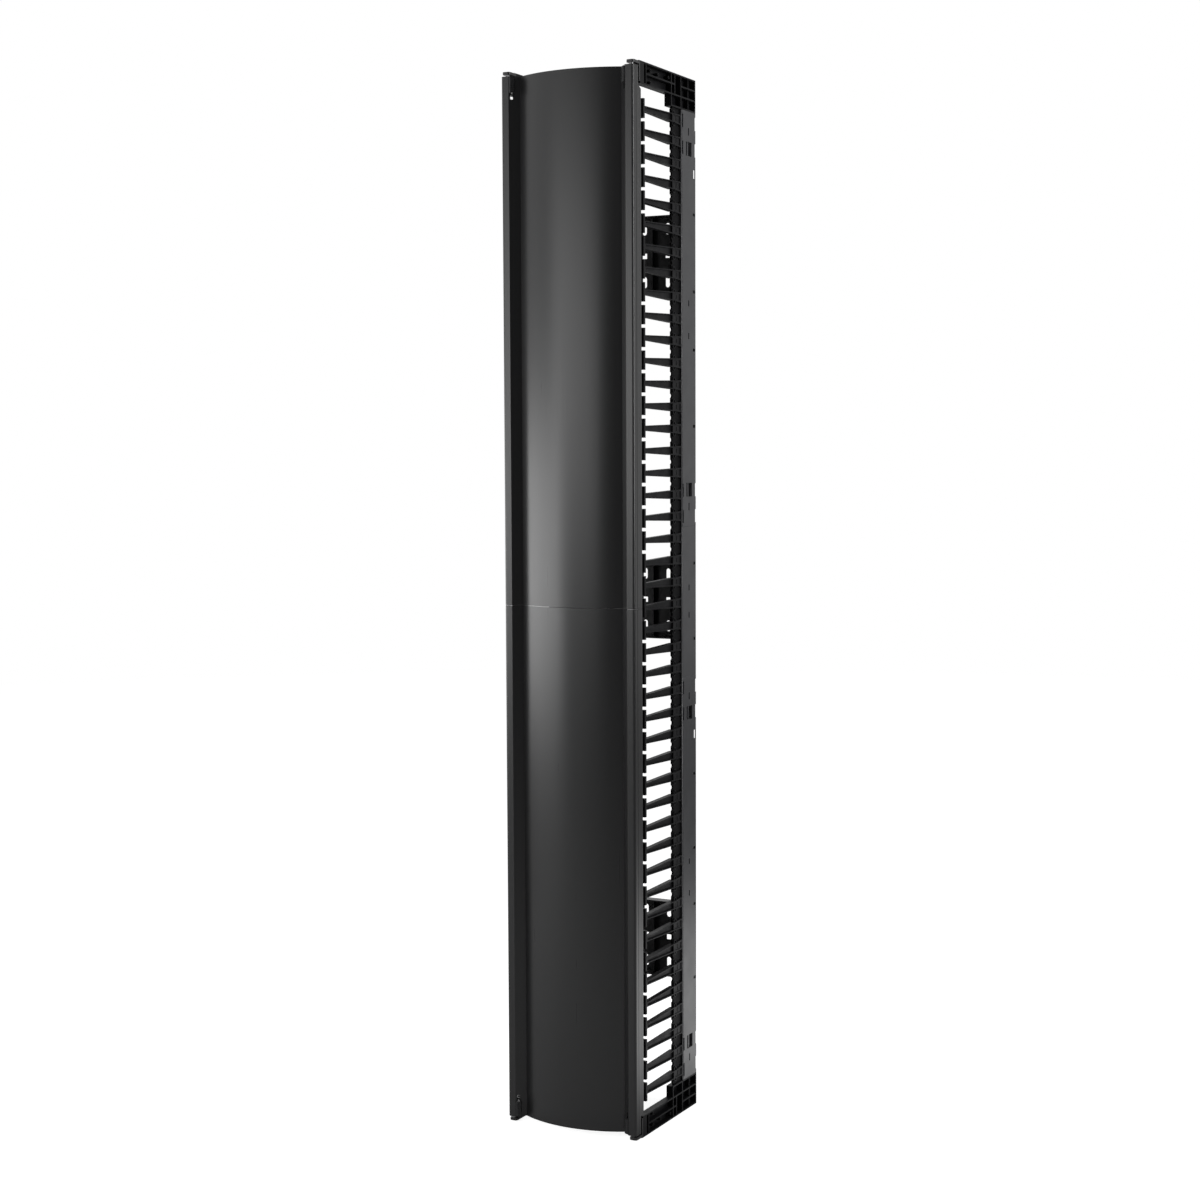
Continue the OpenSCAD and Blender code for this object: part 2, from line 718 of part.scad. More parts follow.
// Finger pad with a bevelled outer face and three grip grooves
module thumb_pad() {
    bevel = 2;
    difference() {
        linear_extrude(thumb_l) polygon([
            [0, 0], [thumb_t - bevel, 0], [thumb_t, bevel], [thumb_t, thumb_b - bevel],
            [thumb_t - bevel, thumb_b], [0, thumb_b]]);
        for (i = [0 : 2]) translate([thumb_t - 0.8, -1, thumb_l - 8 - 4 * i]) cube([2, thumb_b + 2, 1.6]);
    }
}

// Compression spring between the sleeve and the housing's seat
module latch_spring() {
    sides = 6;
    per_turn = 14;
    w0 = stem_w0 + sleeve_l + spring_wire_r + fit;
    w1 = housing_l - seat_l - spring_wire_r - fit;
    steps = spring_turns * per_turn;
    ring = [for (i = [0 : steps], j = [0 : sides - 1])
        let (a = 360 * i / per_turn, b = 360 * j / sides, r = spring_r + spring_wire_r * cos(b))
        [r * cos(a), r * sin(a), w0 + (w1 - w0) * i / steps + spring_wire_r * sin(b)]];
    skin = [for (i = [0 : steps - 1], j = [0 : sides - 1])
        let (k = (j + 1) % sides)
        [i * sides + j, i * sides + k, (i + 1) * sides + k, (i + 1) * sides + j]];
    caps = [[for (j = [sides - 1 : -1 : 0]) j], [for (j = [0 : sides - 1]) steps * sides + j]];
    color("silver") translate([pin_x, y_front + pin_y, 0])
        polyhedron(ring, concat(skin, caps), convexity = 10);
}

// ---------- fasteners ----------

module bracket_screws() {
    color("#55585c") for (side = [-1, 1], end = [-1, 1], z = bracket_screw_zs)
        at_end(end) on_side(side) translate([pin_x, y_front, z]) rotate([-90, 0, 0]) countersunk_screw();
}

// Screws that hold the end arms to the side plates
module arm_screws() {
    color("#55585c") for (side = [-1, 1], end = [-1, 1], d = end_boss_ys)
        at_end(end) on_side(side) translate([end_boss_x, fy(d), end_h - wall]) {
            cylinder(r = screw_r, h = screw_l);
            translate([0, 0, -2.2]) cylinder(r = screw_head_r, h = 2.2);
        }
}

// Dowels that line up neighbouring side plate sections
module section_dowels() {
    color("silver") for (side = [-1, 1], u = [outer_units, outer_units + middle_units], d = end_boss_ys)
        on_side(side) translate([end_boss_x, fy(d), unit_z(u) - dowel_l / 2])
            cylinder(r = screw_r, h = dowel_l);
}

module panel_screws() {
    color("#55585c") for (z = panel_zs, sx = [-1, 1], sz = [-1, 1])
        translate([sx * panel_boss_x, fy(frame_d), z + sz * panel_boss_z])
            rotate([90, 0, 0]) countersunk_screw();
}

// ---------- nodes ----------

side_names = ["left", "right"];
section_names = ["lower", "middle", "upper"];
end_names = ["bottom", "top"];

for (s = [0, 1]) {
    side = 2 * s - 1;
    for (k = [0 : 2]) {
        tail = str("_", section_names[k], "_", side_names[s]);
        on_side(side) side_plate(section_start[k], section_units[k], k != 1);
        on_side(side) spine(section_start[k], section_units[k]);
        on_side(side) fingers(section_start[k], section_units[k]);
    }
    for (e = [0, 1]) {
        end = 2 * e - 1;
        tail = str("_", end_names[e], "_", side_names[s]);
        at_end(end) on_side(side) end_arm();
        at_end(end) on_side(side) hinge_bracket();
        at_latch(side, end) latch_housing();
        at_latch(side, end) latch_pin();
        at_latch(side, end) latch_thumb();
        at_latch(side, end) latch_spring();
    }
    on_side(side) door_splice();
    on_side(side) edge_strip();
    at_end(1) on_side(side) edge_strip();
}
door_half();  // door_lower
at_end(1) door_half();  // door_upper
cross_panel(panel_zs[0]);  // cross_panel_lower
cross_panel(panel_zs[1]);  // cross_panel_middle
cross_panel(panel_zs[2]);  // cross_panel_upper
bracket_screws();
arm_screws();
section_dowels();
panel_screws();
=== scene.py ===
"""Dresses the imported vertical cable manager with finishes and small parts, and sets up its studio."""

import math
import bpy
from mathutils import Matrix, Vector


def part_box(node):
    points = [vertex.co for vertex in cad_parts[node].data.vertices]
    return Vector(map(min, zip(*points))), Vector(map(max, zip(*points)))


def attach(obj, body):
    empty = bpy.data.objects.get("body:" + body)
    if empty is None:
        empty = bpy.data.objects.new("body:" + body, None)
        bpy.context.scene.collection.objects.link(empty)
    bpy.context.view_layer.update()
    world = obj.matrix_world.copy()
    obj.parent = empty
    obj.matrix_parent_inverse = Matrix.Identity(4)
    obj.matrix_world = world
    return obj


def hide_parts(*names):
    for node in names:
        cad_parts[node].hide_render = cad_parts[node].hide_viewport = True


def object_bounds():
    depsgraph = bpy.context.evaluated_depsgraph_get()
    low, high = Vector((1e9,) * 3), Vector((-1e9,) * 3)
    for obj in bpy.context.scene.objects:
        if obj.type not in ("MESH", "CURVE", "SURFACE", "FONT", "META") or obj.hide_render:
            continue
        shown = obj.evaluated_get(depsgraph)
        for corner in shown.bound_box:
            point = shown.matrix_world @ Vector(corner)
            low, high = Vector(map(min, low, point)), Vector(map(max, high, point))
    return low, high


bl_info = {
    "name": "Vertical Cable Manager Dressing",
    "version": (1, 0, 0),
    "blender": (4, 5, 0),
    "location": "View3D > Sidebar > Cable Manager",
    "description": "Finishes, screws and studio for a double-sided vertical cable manager",
    "category": "Object",
}

import bmesh
import bpy
from bpy.props import FloatProperty, FloatVectorProperty, PointerProperty
from mathutils import Matrix, Vector

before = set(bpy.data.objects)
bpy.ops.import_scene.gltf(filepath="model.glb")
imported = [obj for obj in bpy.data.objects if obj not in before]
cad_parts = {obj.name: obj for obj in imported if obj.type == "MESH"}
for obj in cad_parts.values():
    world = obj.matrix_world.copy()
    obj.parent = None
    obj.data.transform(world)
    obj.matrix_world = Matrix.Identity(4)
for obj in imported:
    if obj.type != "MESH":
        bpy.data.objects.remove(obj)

SIDES = ("left", "right")
ENDS = ("top", "bottom")
SECTIONS = ("upper", "middle", "lower")
LOW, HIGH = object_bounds()
MM = 0.001

SAME_POINT = 1e-6  # corners of CAD faces nearer than this are one corner
BEVEL_STEPS = 2
BEVEL_ANGLE = math.radians(40)  # only edges sharper than this are rounded
FLAT_SHARE = 80  # how strongly large faces keep their own shading
BEAD_SIDES = 16
SCREW_SIDES = 24
SOCKET_SIDES = 6

# Roughness of each finish
SPLICE_ROUGHNESS = 0.4
PLATE_ROUGHNESS = 0.34
PANEL_ROUGHNESS = 0.42
BRACKET_ROUGHNESS = 0.32
BEAD_ROUGHNESS = 0.3
FINGER_ROUGHNESS = 0.42
SPINE_ROUGHNESS = 0.5
ARM_ROUGHNESS = 0.42
THUMB_ROUGHNESS = 0.3
HOUSING_ROUGHNESS = 0.5
STEEL_ROUGHNESS = 0.28
SCREW_ROUGHNESS = 0.36

# Specular level of each plastic
FINGER_GLOSS = 0.1
SPINE_GLOSS = 0.05
ARM_GLOSS = 0.1
THUMB_GLOSS = 0.4
HOUSING_GLOSS = 0.3

# Screw heads as (radius, height) points from the socket's face down to the shank's start
HEAD_R = 3.55 * MM
SHANK_R = 1.78 * MM
COUNTERSUNK_HEAD = (
    (HEAD_R - 0.1 * MM, 0.0),
    (HEAD_R, 0.08 * MM),
    (HEAD_R, 0.12 * MM),
    (SHANK_R, HEAD_R - SHANK_R),
    (SHANK_R, 2.4 * MM),
)
PAN_HEAD = (
    (2.9 * MM, 0.0),
    (3.4 * MM, 0.35 * MM),
    (HEAD_R, 0.9 * MM),
    (HEAD_R, 2.15 * MM),
    (SHANK_R, 2.2 * MM),
    (SHANK_R, 2.8 * MM),
)
# Each node of screws with its head and the axis that its screws lie along
SCREWS = (
    ("panel_screws", COUNTERSUNK_HEAD, 1),
    ("bracket_screws", COUNTERSUNK_HEAD, 1),
    ("arm_screws", PAN_HEAD, 2),
)

# Each soft box: place, target, width and height in metres
SOFT_BOXES = {
    "left": ((-2.3, -1.55, 1.03), (0.0, -0.12, 1.1), 2.35, 0.85),
    "front": ((-1.0, -3.4, 1.7), (0.0, -0.12, 1.5), 3.1, 1.3),
    "right": ((2.6, 0.1, 1.95), (0.14, -0.1, 1.6), 0.9, 1.8),
    "top": ((0.2, -0.6, 4.2), (0.0, 0.0, 1.0), 2.5, 2.5),
}

WHITE = (1.0, 1.0, 1.0, 1.0)
BACKDROP_WAY = (-0.87, 0.5, 0.0)  # the backdrop stands behind and to the left
BACKDROP_RAMP = (-0.85, 0.7, 0.1, 0.85)  # mirrored surroundings, from the dim front right to the backdrop
MATT_SHARE = 0.45  # share of the surroundings that lights matt surfaces
FLOOR_GREY = (0.6, 0.6, 0.6, 1.0)
FLOOR_GLOW = 0.86  # glow that brings the floor to the backdrop's white when seen directly
POOL_CENTRE = (0.6, 1.0, 0.0)
POOL_RAMP = (0.5, 1.2, 1.1, 0.0)  # mirrored pool of light, from 0.5 m to 1.2 m round its centre


# ---------- settings ----------

def colour_property(label, about, value):
    return FloatVectorProperty(name=label, description=about, default=value, subtype="COLOR",
                               min=0.0, max=1.0)


def length_property(label, about, value):
    return FloatProperty(name=label, description=about, default=value, unit="LENGTH",
                         subtype="DISTANCE", min=0.0)


def angle_property(label, about, degrees):
    return FloatProperty(name=label, description=about, default=math.radians(degrees), subtype="ANGLE")


def power_property(label, about, watts):
    return FloatProperty(name=label, description=about, default=watts, min=0.0)


class DoorFinishSettings(bpy.types.PropertyGroup):
    colour: colour_property("Coat colour", "Colour of the satin coat on the door", (0.0095, 0.0096, 0.0102))
    roughness: FloatProperty(name="Roughness", description="Roughness of the satin coat", default=0.27,
                             subtype="FACTOR")
    die_line_pitch: length_property("Die line pitch", "Spacing of the lines left by the extrusion die",
                                    2.2 * MM)
    edge_round: length_property("Edge round", "Radius on the door's cut edges", 0.35 * MM)


class WallFinishSettings(bpy.types.PropertyGroup):
    plate_colour: colour_property("Plate colour", "Powder coat of the side plates", (0.024, 0.0245, 0.028))
    panel_colour: colour_property("Panel colour", "Powder coat of the cross panels", (0.014, 0.014, 0.015))
    bracket_colour: colour_property("Bracket colour", "Powder coat of the hinge brackets",
                                    (0.018, 0.018, 0.019))
    peel_size: length_property("Orange peel size", "Size of the ripple in the powder coat", 1.6 * MM)
    edge_round: length_property("Edge round", "Radius on the punched and folded edges", 0.4 * MM)
    # The beads' coat is lighter than the plates' coat: a painted highlight along the plates' front edges, not
    # wear.
    bead_colour: colour_property("Bead colour", "Powder coat of the plates' front beads, lightened as a painted highlight",
                                 (0.09, 0.09, 0.095))
    bead_radius: length_property("Bead radius", "Radius of the beads in front of the side plates", 1.6 * MM)


class MouldingFinishSettings(bpy.types.PropertyGroup):
    finger_colour: colour_property("Finger colour", "Plastic of the finger combs", (0.008, 0.008, 0.009))
    spine_colour: colour_property("Spine colour", "Plastic of the spines", (0.006, 0.006, 0.0065))
    arm_colour: colour_property("Arm colour", "Plastic of the end arms", (0.008, 0.008, 0.009))
    thumb_colour: colour_property("Thumb colour", "Plastic of the latch thumb pieces", (0.02, 0.02, 0.021))
    housing_colour: colour_property("Housing colour", "Plastic of the latch housings",
                                    (0.012, 0.012, 0.013))
    grain_size: length_property("Grain size", "Size of the moulded grain", 0.5 * MM)
    edge_round: length_property("Edge round", "Radius on the moulded edges", 0.45 * MM)
    thumb_round: length_property("Thumb round", "Radius on the edges of the thumb pieces", 0.4 * MM)


class HardwareSettings(bpy.types.PropertyGroup):
    steel_colour: colour_property("Steel colour", "Zinc plate on the pins and springs", (0.42, 0.42, 0.43))
    screw_colour: colour_property("Screw colour", "Black zinc plate on the screws", (0.035, 0.035, 0.037))
    splice_colour: colour_property("Splice colour", "Mill finish of the door's splice keys", (0.5, 0.5, 0.51))
    drive_radius: length_property("Drive radius", "Radius of the hex socket in a screw head, to its corners",
                                  1.5 * MM)
    drive_depth: length_property("Drive depth", "Depth of the socket in a screw head", 1.3 * MM)
    thread_pitch: length_property("Thread pitch", "Pitch of the thread on a screw's shank", 0.8 * MM)
    thread_depth: length_property("Thread depth", "Depth of the thread on a screw's shank", 0.25 * MM)


class StudioSettings(bpy.types.PropertyGroup):
    left_watts: power_property("Left light", "Power of the low soft box at the left", 27.0)
    front_watts: power_property("Front light", "Power of the high soft box at the front left", 27.0)
    right_watts: power_property("Right light", "Power of the tall soft box at the right", 38.0)
    top_watts: power_property("Top light", "Power of the soft box overhead", 22.0)
    lens: FloatProperty(name="Lens", description="Focal length of the camera in millimetres",
                        default=61.98, min=1.0)
    camera_place: FloatVectorProperty(name="Camera", description="Place of the camera", unit="LENGTH",
                                      default=(1.9717, -3.7448, 1.366), subtype="TRANSLATION")
    camera_yaw: angle_property("Yaw", "Turn of the camera to the left", 27.774)
    camera_pitch: angle_property("Pitch", "Dip of the camera below the horizon", 3.956)
    camera_roll: angle_property("Roll", "Roll of the camera about its line of sight", -0.243)
    floor_radius: length_property("Floor radius", "Radius of the pale floor", 9.0)


# ---------- material building ----------

class Nodes:
    """A short way to build one material's node tree."""

    def __init__(self, name):
        self.material = bpy.data.materials.new(name)
        self.material.use_nodes = True
        self.tree = self.material.node_tree
        self.shader = self.tree.nodes["Principled BSDF"]
        self.place = self.add("ShaderNodeTexCoord").outputs["Object"]

    def add(self, kind, **settings):
        node = self.tree.nodes.new(kind)
        for key, value in settings.items():
            setattr(node, key, value)
        return node

    def link(self, source, target):
        self.tree.links.new(source, target)

    def stretched(self, scale):
        node = self.add("ShaderNodeMapping")
        node.inputs["Scale"].default_value = scale
        self.link(self.place, node.inputs["Vector"])
        return node.outputs["Vector"]

    def noise(self, size, detail=3.0, vector=None):
        node = self.add("ShaderNodeTexNoise")
        node.inputs["Scale"].default_value = 1.0 / size
        node.inputs["Detail"].default_value = detail
        self.link(vector or self.place, node.inputs["Vector"])
        return node.outputs["Fac"]

    def ranged(self, value, low, high):
        node = self.add("ShaderNodeMapRange")
        node.inputs["From Min"].default_value = 0.3
        node.inputs["From Max"].default_value = 0.7
        node.inputs["To Min"].default_value = low
        node.inputs["To Max"].default_value = high
        self.link(value, node.inputs["Value"])
        return node.outputs["Result"]

    def tinted(self, value, colour, spread):
        """The colour, made a little darker and lighter by the value."""
        node = self.add("ShaderNodeMix", data_type="RGBA")
        node.inputs["A"].default_value = (*[c * (1.0 - spread) for c in colour], 1.0)
        node.inputs["B"].default_value = (*[c * (1.0 + spread) for c in colour], 1.0)
        self.link(self.ranged(value, 0.0, 1.0), node.inputs["Factor"])
        self.link(node.outputs["Result"], self.shader.inputs["Base Color"])

    def roughened(self, value, roughness, below, above):
        """Roughness that the value moves between so much below and so much above."""
        self.link(self.ranged(value, roughness - below, roughness + above), self.shader.inputs["Roughness"])

    def bumped(self, value, height, strength=1.0):
        node = self.add("ShaderNodeBump")
        node.inputs["Distance"].default_value = height
        node.inputs["Strength"].default_value = strength
        self.link(value, node.inputs["Height"])
        self.link(node.outputs["Normal"], self.shader.inputs["Normal"])

    def constants(self, **values):
        for key, value in values.items():
            self.shader.inputs[key.replace("_", " ")].default_value = value


def math_node(tree, operation, kind="ShaderNodeMath"):
    node = tree.nodes.new(kind)
    node.operation = operation
    return node


def smooth_ramp(tree, limits):
    """A smooth ramp with limits (from low, from high, to low, to high)."""
    node = tree.nodes.new("ShaderNodeMapRange")
    node.interpolation_type = "SMOOTHSTEP"
    for key, value in zip(("From Min", "From Max", "To Min", "To Max"), limits):
        node.inputs[key].default_value = value
    return node


def add_values(nodes, first, second, share):
    """first plus share times second."""
    node = nodes.add("ShaderNodeMath", operation="MULTIPLY_ADD")
    node.inputs[1].default_value = share
    nodes.link(second, node.inputs[0])
    nodes.link(first, node.inputs[2])
    return node.outputs["Value"]


def extrusion_coat(name, colour, roughness, pitch):
    """Satin coat over an extrusion, with faint die lines along its length."""
    nodes = Nodes(name)
    lines = nodes.noise(pitch, 2.0, nodes.stretched((1.0, 1.0, 0.002)))
    specks = nodes.noise(0.35 * MM, 2.0)
    nodes.tinted(nodes.noise(0.22, 3.0, nodes.stretched((1.0, 1.0, 0.25))), colour, 0.07)
    nodes.roughened(add_values(nodes, lines, nodes.noise(0.09), 0.6), roughness, 0.03, 0.05)
    nodes.bumped(add_values(nodes, lines, specks, 0.35), 0.012 * MM, 0.5)
    nodes.constants(IOR=1.5, Coat_Weight=0.25, Coat_Roughness=0.3)
    return nodes.material


def powder_coat(name, colour, roughness, peel):
    """Powder coat with an orange peel ripple and slight cloudiness."""
    nodes = Nodes(name)
    ripple = nodes.noise(peel, 2.0)
    nodes.tinted(nodes.noise(0.06), colour, 0.1)
    nodes.roughened(nodes.noise(0.035), roughness, 0.04, 0.06)
    nodes.bumped(add_values(nodes, ripple, nodes.noise(peel * 0.2, 1.0), 0.3), 0.03 * MM, 0.5)
    nodes.constants(IOR=1.5, Coat_Weight=0.2, Coat_Roughness=0.22)
    return nodes.material


def moulded_plastic(name, colour, roughness, grain, gloss):
    """Moulded plastic with a fine grain, faint flow marks and rubbed patches."""
    nodes = Nodes(name)
    flow = nodes.noise(0.012, 4.0, nodes.stretched((1.0, 0.25, 1.0)))
    nodes.tinted(flow, colour, 0.14)
    nodes.roughened(nodes.noise(0.02), roughness, 0.05, 0.07)
    nodes.bumped(nodes.noise(grain, 2.0), 0.015 * MM, 0.45)
    nodes.constants(IOR=1.5, Specular_IOR_Level=gloss)
    return nodes.material


def plated_steel(name, colour, roughness):
    """Plated steel with fine turning marks round its length."""
    nodes = Nodes(name)
    turning = nodes.noise(0.25 * MM, 2.0, nodes.stretched((0.05, 0.05, 1.0)))
    nodes.tinted(nodes.noise(0.004), colour, 0.12)
    nodes.roughened(turning, roughness, 0.06, 0.08)
    nodes.bumped(turning, 0.006 * MM, 0.4)
    nodes.constants(Metallic=1.0)
    return nodes.material


# ---------- work on CAD nodes ----------

def give_finish(material, *names):
    """Puts one finish on every slot of the named CAD nodes."""
    for name in names:
        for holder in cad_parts[name].material_slots:
            holder.material = material


def round_edges(width, *names):
    """Rounds the sharp edges of CAD nodes, which arrive with one loose patch per face."""
    for name in names:
        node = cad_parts[name]
        weld = node.modifiers.new("Join faces", "WELD")
        weld.merge_threshold = SAME_POINT
        bevel = node.modifiers.new("Round edges", "BEVEL")
        bevel.width = width
        bevel.segments = BEVEL_STEPS
        bevel.limit_method = "ANGLE"
        bevel.angle_limit = BEVEL_ANGLE
        bevel.use_clamp_overlap = True
        smooth = node.modifiers.new("Even shading", "WEIGHTED_NORMAL")
        smooth.weight = FLAT_SHARE
        smooth.keep_sharp = False


def by_side(pattern, *groups):
    """Node names from a pattern, for each group and both sides."""
    names = []
    for side in SIDES:
        for group in groups:
            names.append(pattern.format(group, side))
    return names


# ---------- mesh building ----------

def mesh_object(name, build, material, body):
    """Makes a mesh piece with a build function that fills a bmesh, and rides it on a body."""
    shape = bmesh.new()
    build(shape)
    bmesh.ops.remove_doubles(shape, verts=shape.verts, dist=1e-7)
    bmesh.ops.recalc_face_normals(shape, faces=shape.faces)
    mesh = bpy.data.meshes.new(name)
    shape.to_mesh(mesh)
    shape.free()
    mesh.materials.append(material)
    piece = bpy.data.objects.new(name, mesh)
    bpy.context.scene.collection.objects.link(piece)
    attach(piece, body)
    return piece


def ring_of(shape, radius, height, count, place):
    """A ring of points at one height of a turned piece."""
    turn = 2.0 * math.pi / count
    points = []
    for i in range(count):
        local = Vector((radius * math.cos(i * turn), radius * math.sin(i * turn), height))
        points.append(shape.verts.new(place @ local))
    return points


def join_rings(shape, first, second, smooth=True):
    count = len(first)
    for i in range(count):
        j = (i + 1) % count
        face = shape.faces.new((first[i], first[j], second[j], second[i]))
        face.smooth = smooth


def turned_screw(shape, place, head, length, settings):
    """A screw along +Z from its head's face at z = 0, with a hex socket and a thread of plain rings.

    head is the outline of the head, as (radius, height) points down to the shank's start."""
    socket_r = settings.drive_radius
    pitch = settings.thread_pitch
    floor = ring_of(shape, socket_r * 0.96, settings.drive_depth, SOCKET_SIDES, place)
    lip = ring_of(shape, socket_r, 0.0, SOCKET_SIDES, place)
    tip = shape.verts.new(place @ Vector((0.0, 0.0, settings.drive_depth * 1.25)))
    for i in range(SOCKET_SIDES):
        shape.faces.new((floor[i], floor[(i + 1) % SOCKET_SIDES], tip))
    join_rings(shape, floor, lip, smooth=False)
    rings = [ring_of(shape, radius, height, SCREW_SIDES, place) for radius, height in head]
    share = SCREW_SIDES // SOCKET_SIDES
    for i in range(SOCKET_SIDES):
        outer = [rings[0][(i * share + k) % SCREW_SIDES] for k in range(share + 1)]
        shape.faces.new((lip[i], *outer, lip[(i + 1) % SOCKET_SIDES]))
    shank_r, start = head[-1]
    turns = int((length - start - 2.0 * pitch) / pitch)
    for k in range(turns):
        base = start + (k + 0.5) * pitch
        rings.append(ring_of(shape, shank_r - settings.thread_depth, base, SCREW_SIDES, place))
        rings.append(ring_of(shape, shank_r, base + 0.45 * pitch, SCREW_SIDES, place))
    rings.append(ring_of(shape, shank_r * 0.55, length, SCREW_SIDES, place))
    for first, second in zip(rings, rings[1:]):
        join_rings(shape, first, second)
    shape.faces.new(rings[-1])


# ---------- places of the small parts, read from the frame ----------

def solids_of(node):
    """The boxes of a node's separate solids, as (low, high) pairs."""
    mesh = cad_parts[node].data
    shape = bmesh.new()
    shape.from_mesh(mesh)
    bmesh.ops.remove_doubles(shape, verts=shape.verts, dist=SAME_POINT)
    seen = set()
    boxes = []
    for start in shape.verts:
        if start in seen:
            continue
        stack = [start]
        seen.add(start)
        points = []
        while stack:
            vert = stack.pop()
            points.append(vert.co.copy())
            for edge in vert.link_edges:
                other = edge.other_vert(vert)
                if other not in seen:
                    seen.add(other)
                    stack.append(other)
        low = Vector([min(p[k] for p in points) for k in range(3)])
        high = Vector([max(p[k] for p in points) for k in range(3)])
        boxes.append((low, high))
    shape.free()
    return boxes


def screw_place(low, high, axis, toward):
    """Matrix that puts a screw's head face at one end of its box, with its shank the given way."""
    centre = (low + high) / 2.0
    centre[axis] = low[axis] if toward > 0 else high[axis]
    direction = Vector((0.0, 0.0, 0.0))
    direction[axis] = toward
    return Matrix.Translation(centre) @ direction.to_track_quat("Z", "Y").to_matrix().to_4x4()


# ---------- operators ----------

class CABLE_OT_door(bpy.types.Operator):
    """Finish the two door halves, their splice keys and rounded cut edges"""

    bl_idname = "cable_manager.door"
    bl_label = "Door"

    def execute(self, context):
        settings = context.scene.cable_door
        coat = extrusion_coat("door_satin_coat", settings.colour, settings.roughness, settings.die_line_pitch)
        strips = by_side("edge_strip_{}_{}", "upper", "lower")
        give_finish(coat, "door_upper", "door_lower", *strips)
        bare = context.scene.cable_hardware.splice_colour
        mill = extrusion_coat("splice_mill_finish", bare, SPLICE_ROUGHNESS, settings.die_line_pitch)
        mill.node_tree.nodes["Principled BSDF"].inputs["Metallic"].default_value = 1.0
        give_finish(mill, "door_splice_left", "door_splice_right")
        round_edges(settings.edge_round, "door_upper", "door_lower", *strips)
        return {"FINISHED"}


class CABLE_OT_walls(bpy.types.Operator):
    """Finish the side plates, cross panels and hinge brackets in powder coat"""

    bl_idname = "cable_manager.walls"
    bl_label = "Side plates and cross panels"

    def execute(self, context):
        settings = context.scene.cable_walls
        plates = by_side("side_plate_{}_{}", *SECTIONS)
        panels = ["cross_panel_" + section for section in SECTIONS]
        brackets = by_side("hinge_bracket_{}_{}", *ENDS)
        peel = settings.peel_size
        give_finish(powder_coat("plate_coat", settings.plate_colour, PLATE_ROUGHNESS, peel), *plates)
        give_finish(powder_coat("panel_coat", settings.panel_colour, PANEL_ROUGHNESS, peel), *panels)
        give_finish(powder_coat("bracket_coat", settings.bracket_colour, BRACKET_ROUGHNESS, peel), *brackets)
        round_edges(settings.edge_round, *plates, *panels, *brackets)
        return {"FINISHED"}


class CABLE_OT_edge_beads(bpy.types.Operator):
    """Add the rolled bead along the front edge of each side plate"""

    bl_idname = "cable_manager.edge_beads"
    bl_label = "Edge beads"

    def execute(self, context):
        settings = context.scene.cable_walls
        # Painted highlight: the beads' coat is lighter than the plates' so it stands for the light caught
        # along their front edges.
        finish = powder_coat("bead_coat", settings.bead_colour, BEAD_ROUGHNESS, settings.peel_size)
        radius = settings.bead_radius
        for side in SIDES:
            for section in SECTIONS:
                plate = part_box("side_plate_{}_{}".format(section, side))
                low, high = [Vector(corner) for corner in plate]
                outer = low.x + radius if side == "left" else high.x - radius

                def build(shape, low=low, high=high, outer=outer):
                    place = Matrix.Translation((outer, low.y - radius, 0.0))
                    bevel = 0.3 * radius
                    profile = [(radius - bevel, low.z), (radius, low.z + bevel),
                               (radius, high.z - bevel), (radius - bevel, high.z)]
                    rings = [ring_of(shape, reach, height, BEAD_SIDES, place) for reach, height in profile]
                    for first, second in zip(rings, rings[1:]):
                        join_rings(shape, first, second)
                    shape.faces.new(rings[0])
                    shape.faces.new(rings[-1])

                mesh_object("edge_bead_{}_{}".format(section, side), build, finish, "frame")
        return {"FINISHED"}


class CABLE_OT_mouldings(bpy.types.Operator):
    """Finish the finger combs, spines and end arms in moulded plastic"""

    bl_idname = "cable_manager.mouldings"
    bl_label = "Fingers, spines and end arms"

    def execute(self, context):
        settings = context.scene.cable_mouldings
        grain = settings.grain_size
        fingers = by_side("fingers_{}_{}", *SECTIONS)
        spines = by_side("spine_{}_{}", *SECTIONS)
        arms = by_side("end_arm_{}_{}", *ENDS)
        for name, colour, roughness, gloss, group in (
            ("finger_plastic", settings.finger_colour, FINGER_ROUGHNESS, FINGER_GLOSS, fingers),
            ("spine_plastic", settings.spine_colour, SPINE_ROUGHNESS, SPINE_GLOSS, spines),
            ("arm_plastic", settings.arm_colour, ARM_ROUGHNESS, ARM_GLOSS, arms),
        ):
            give_finish(moulded_plastic(name, colour, roughness, grain, gloss), *group)
        round_edges(settings.edge_round, *fingers, *arms, *spines)
        return {"FINISHED"}


class CABLE_OT_latches(bpy.types.Operator):
    """Finish the latch housings, thumb pieces, pins and springs"""

    bl_idname = "cable_manager.latches"
    bl_label = "Latches"

    def execute(self, context):
        hardware = context.scene.cable_hardware
        mouldings = context.scene.cable_mouldings
        grain = mouldings.grain_size
        pins = by_side("latch_pin_{}_{}", *ENDS)
        springs = by_side("latch_spring_{}_{}", *ENDS)
        thumbs = by_side("latch_thumb_{}_{}", *ENDS)
        housings = by_side("latch_housing_{}_{}", *ENDS)
        steel = plated_steel("plated_steel", hardware.steel_colour, STEEL_ROUGHNESS)
        thumb = moulded_plastic("thumb_plastic", mouldings.thumb_colour, THUMB_ROUGHNESS, grain, THUMB_GLOSS)
        housing = moulded_plastic("housing_plastic", mouldings.housing_colour, HOUSING_ROUGHNESS, grain,
                                  HOUSING_GLOSS)
        give_finish(steel, *pins, *springs, "section_dowels")
        give_finish(thumb, *thumbs)
        give_finish(housing, *housings)
        round_edges(mouldings.thumb_round, *thumbs)
        return {"FINISHED"}


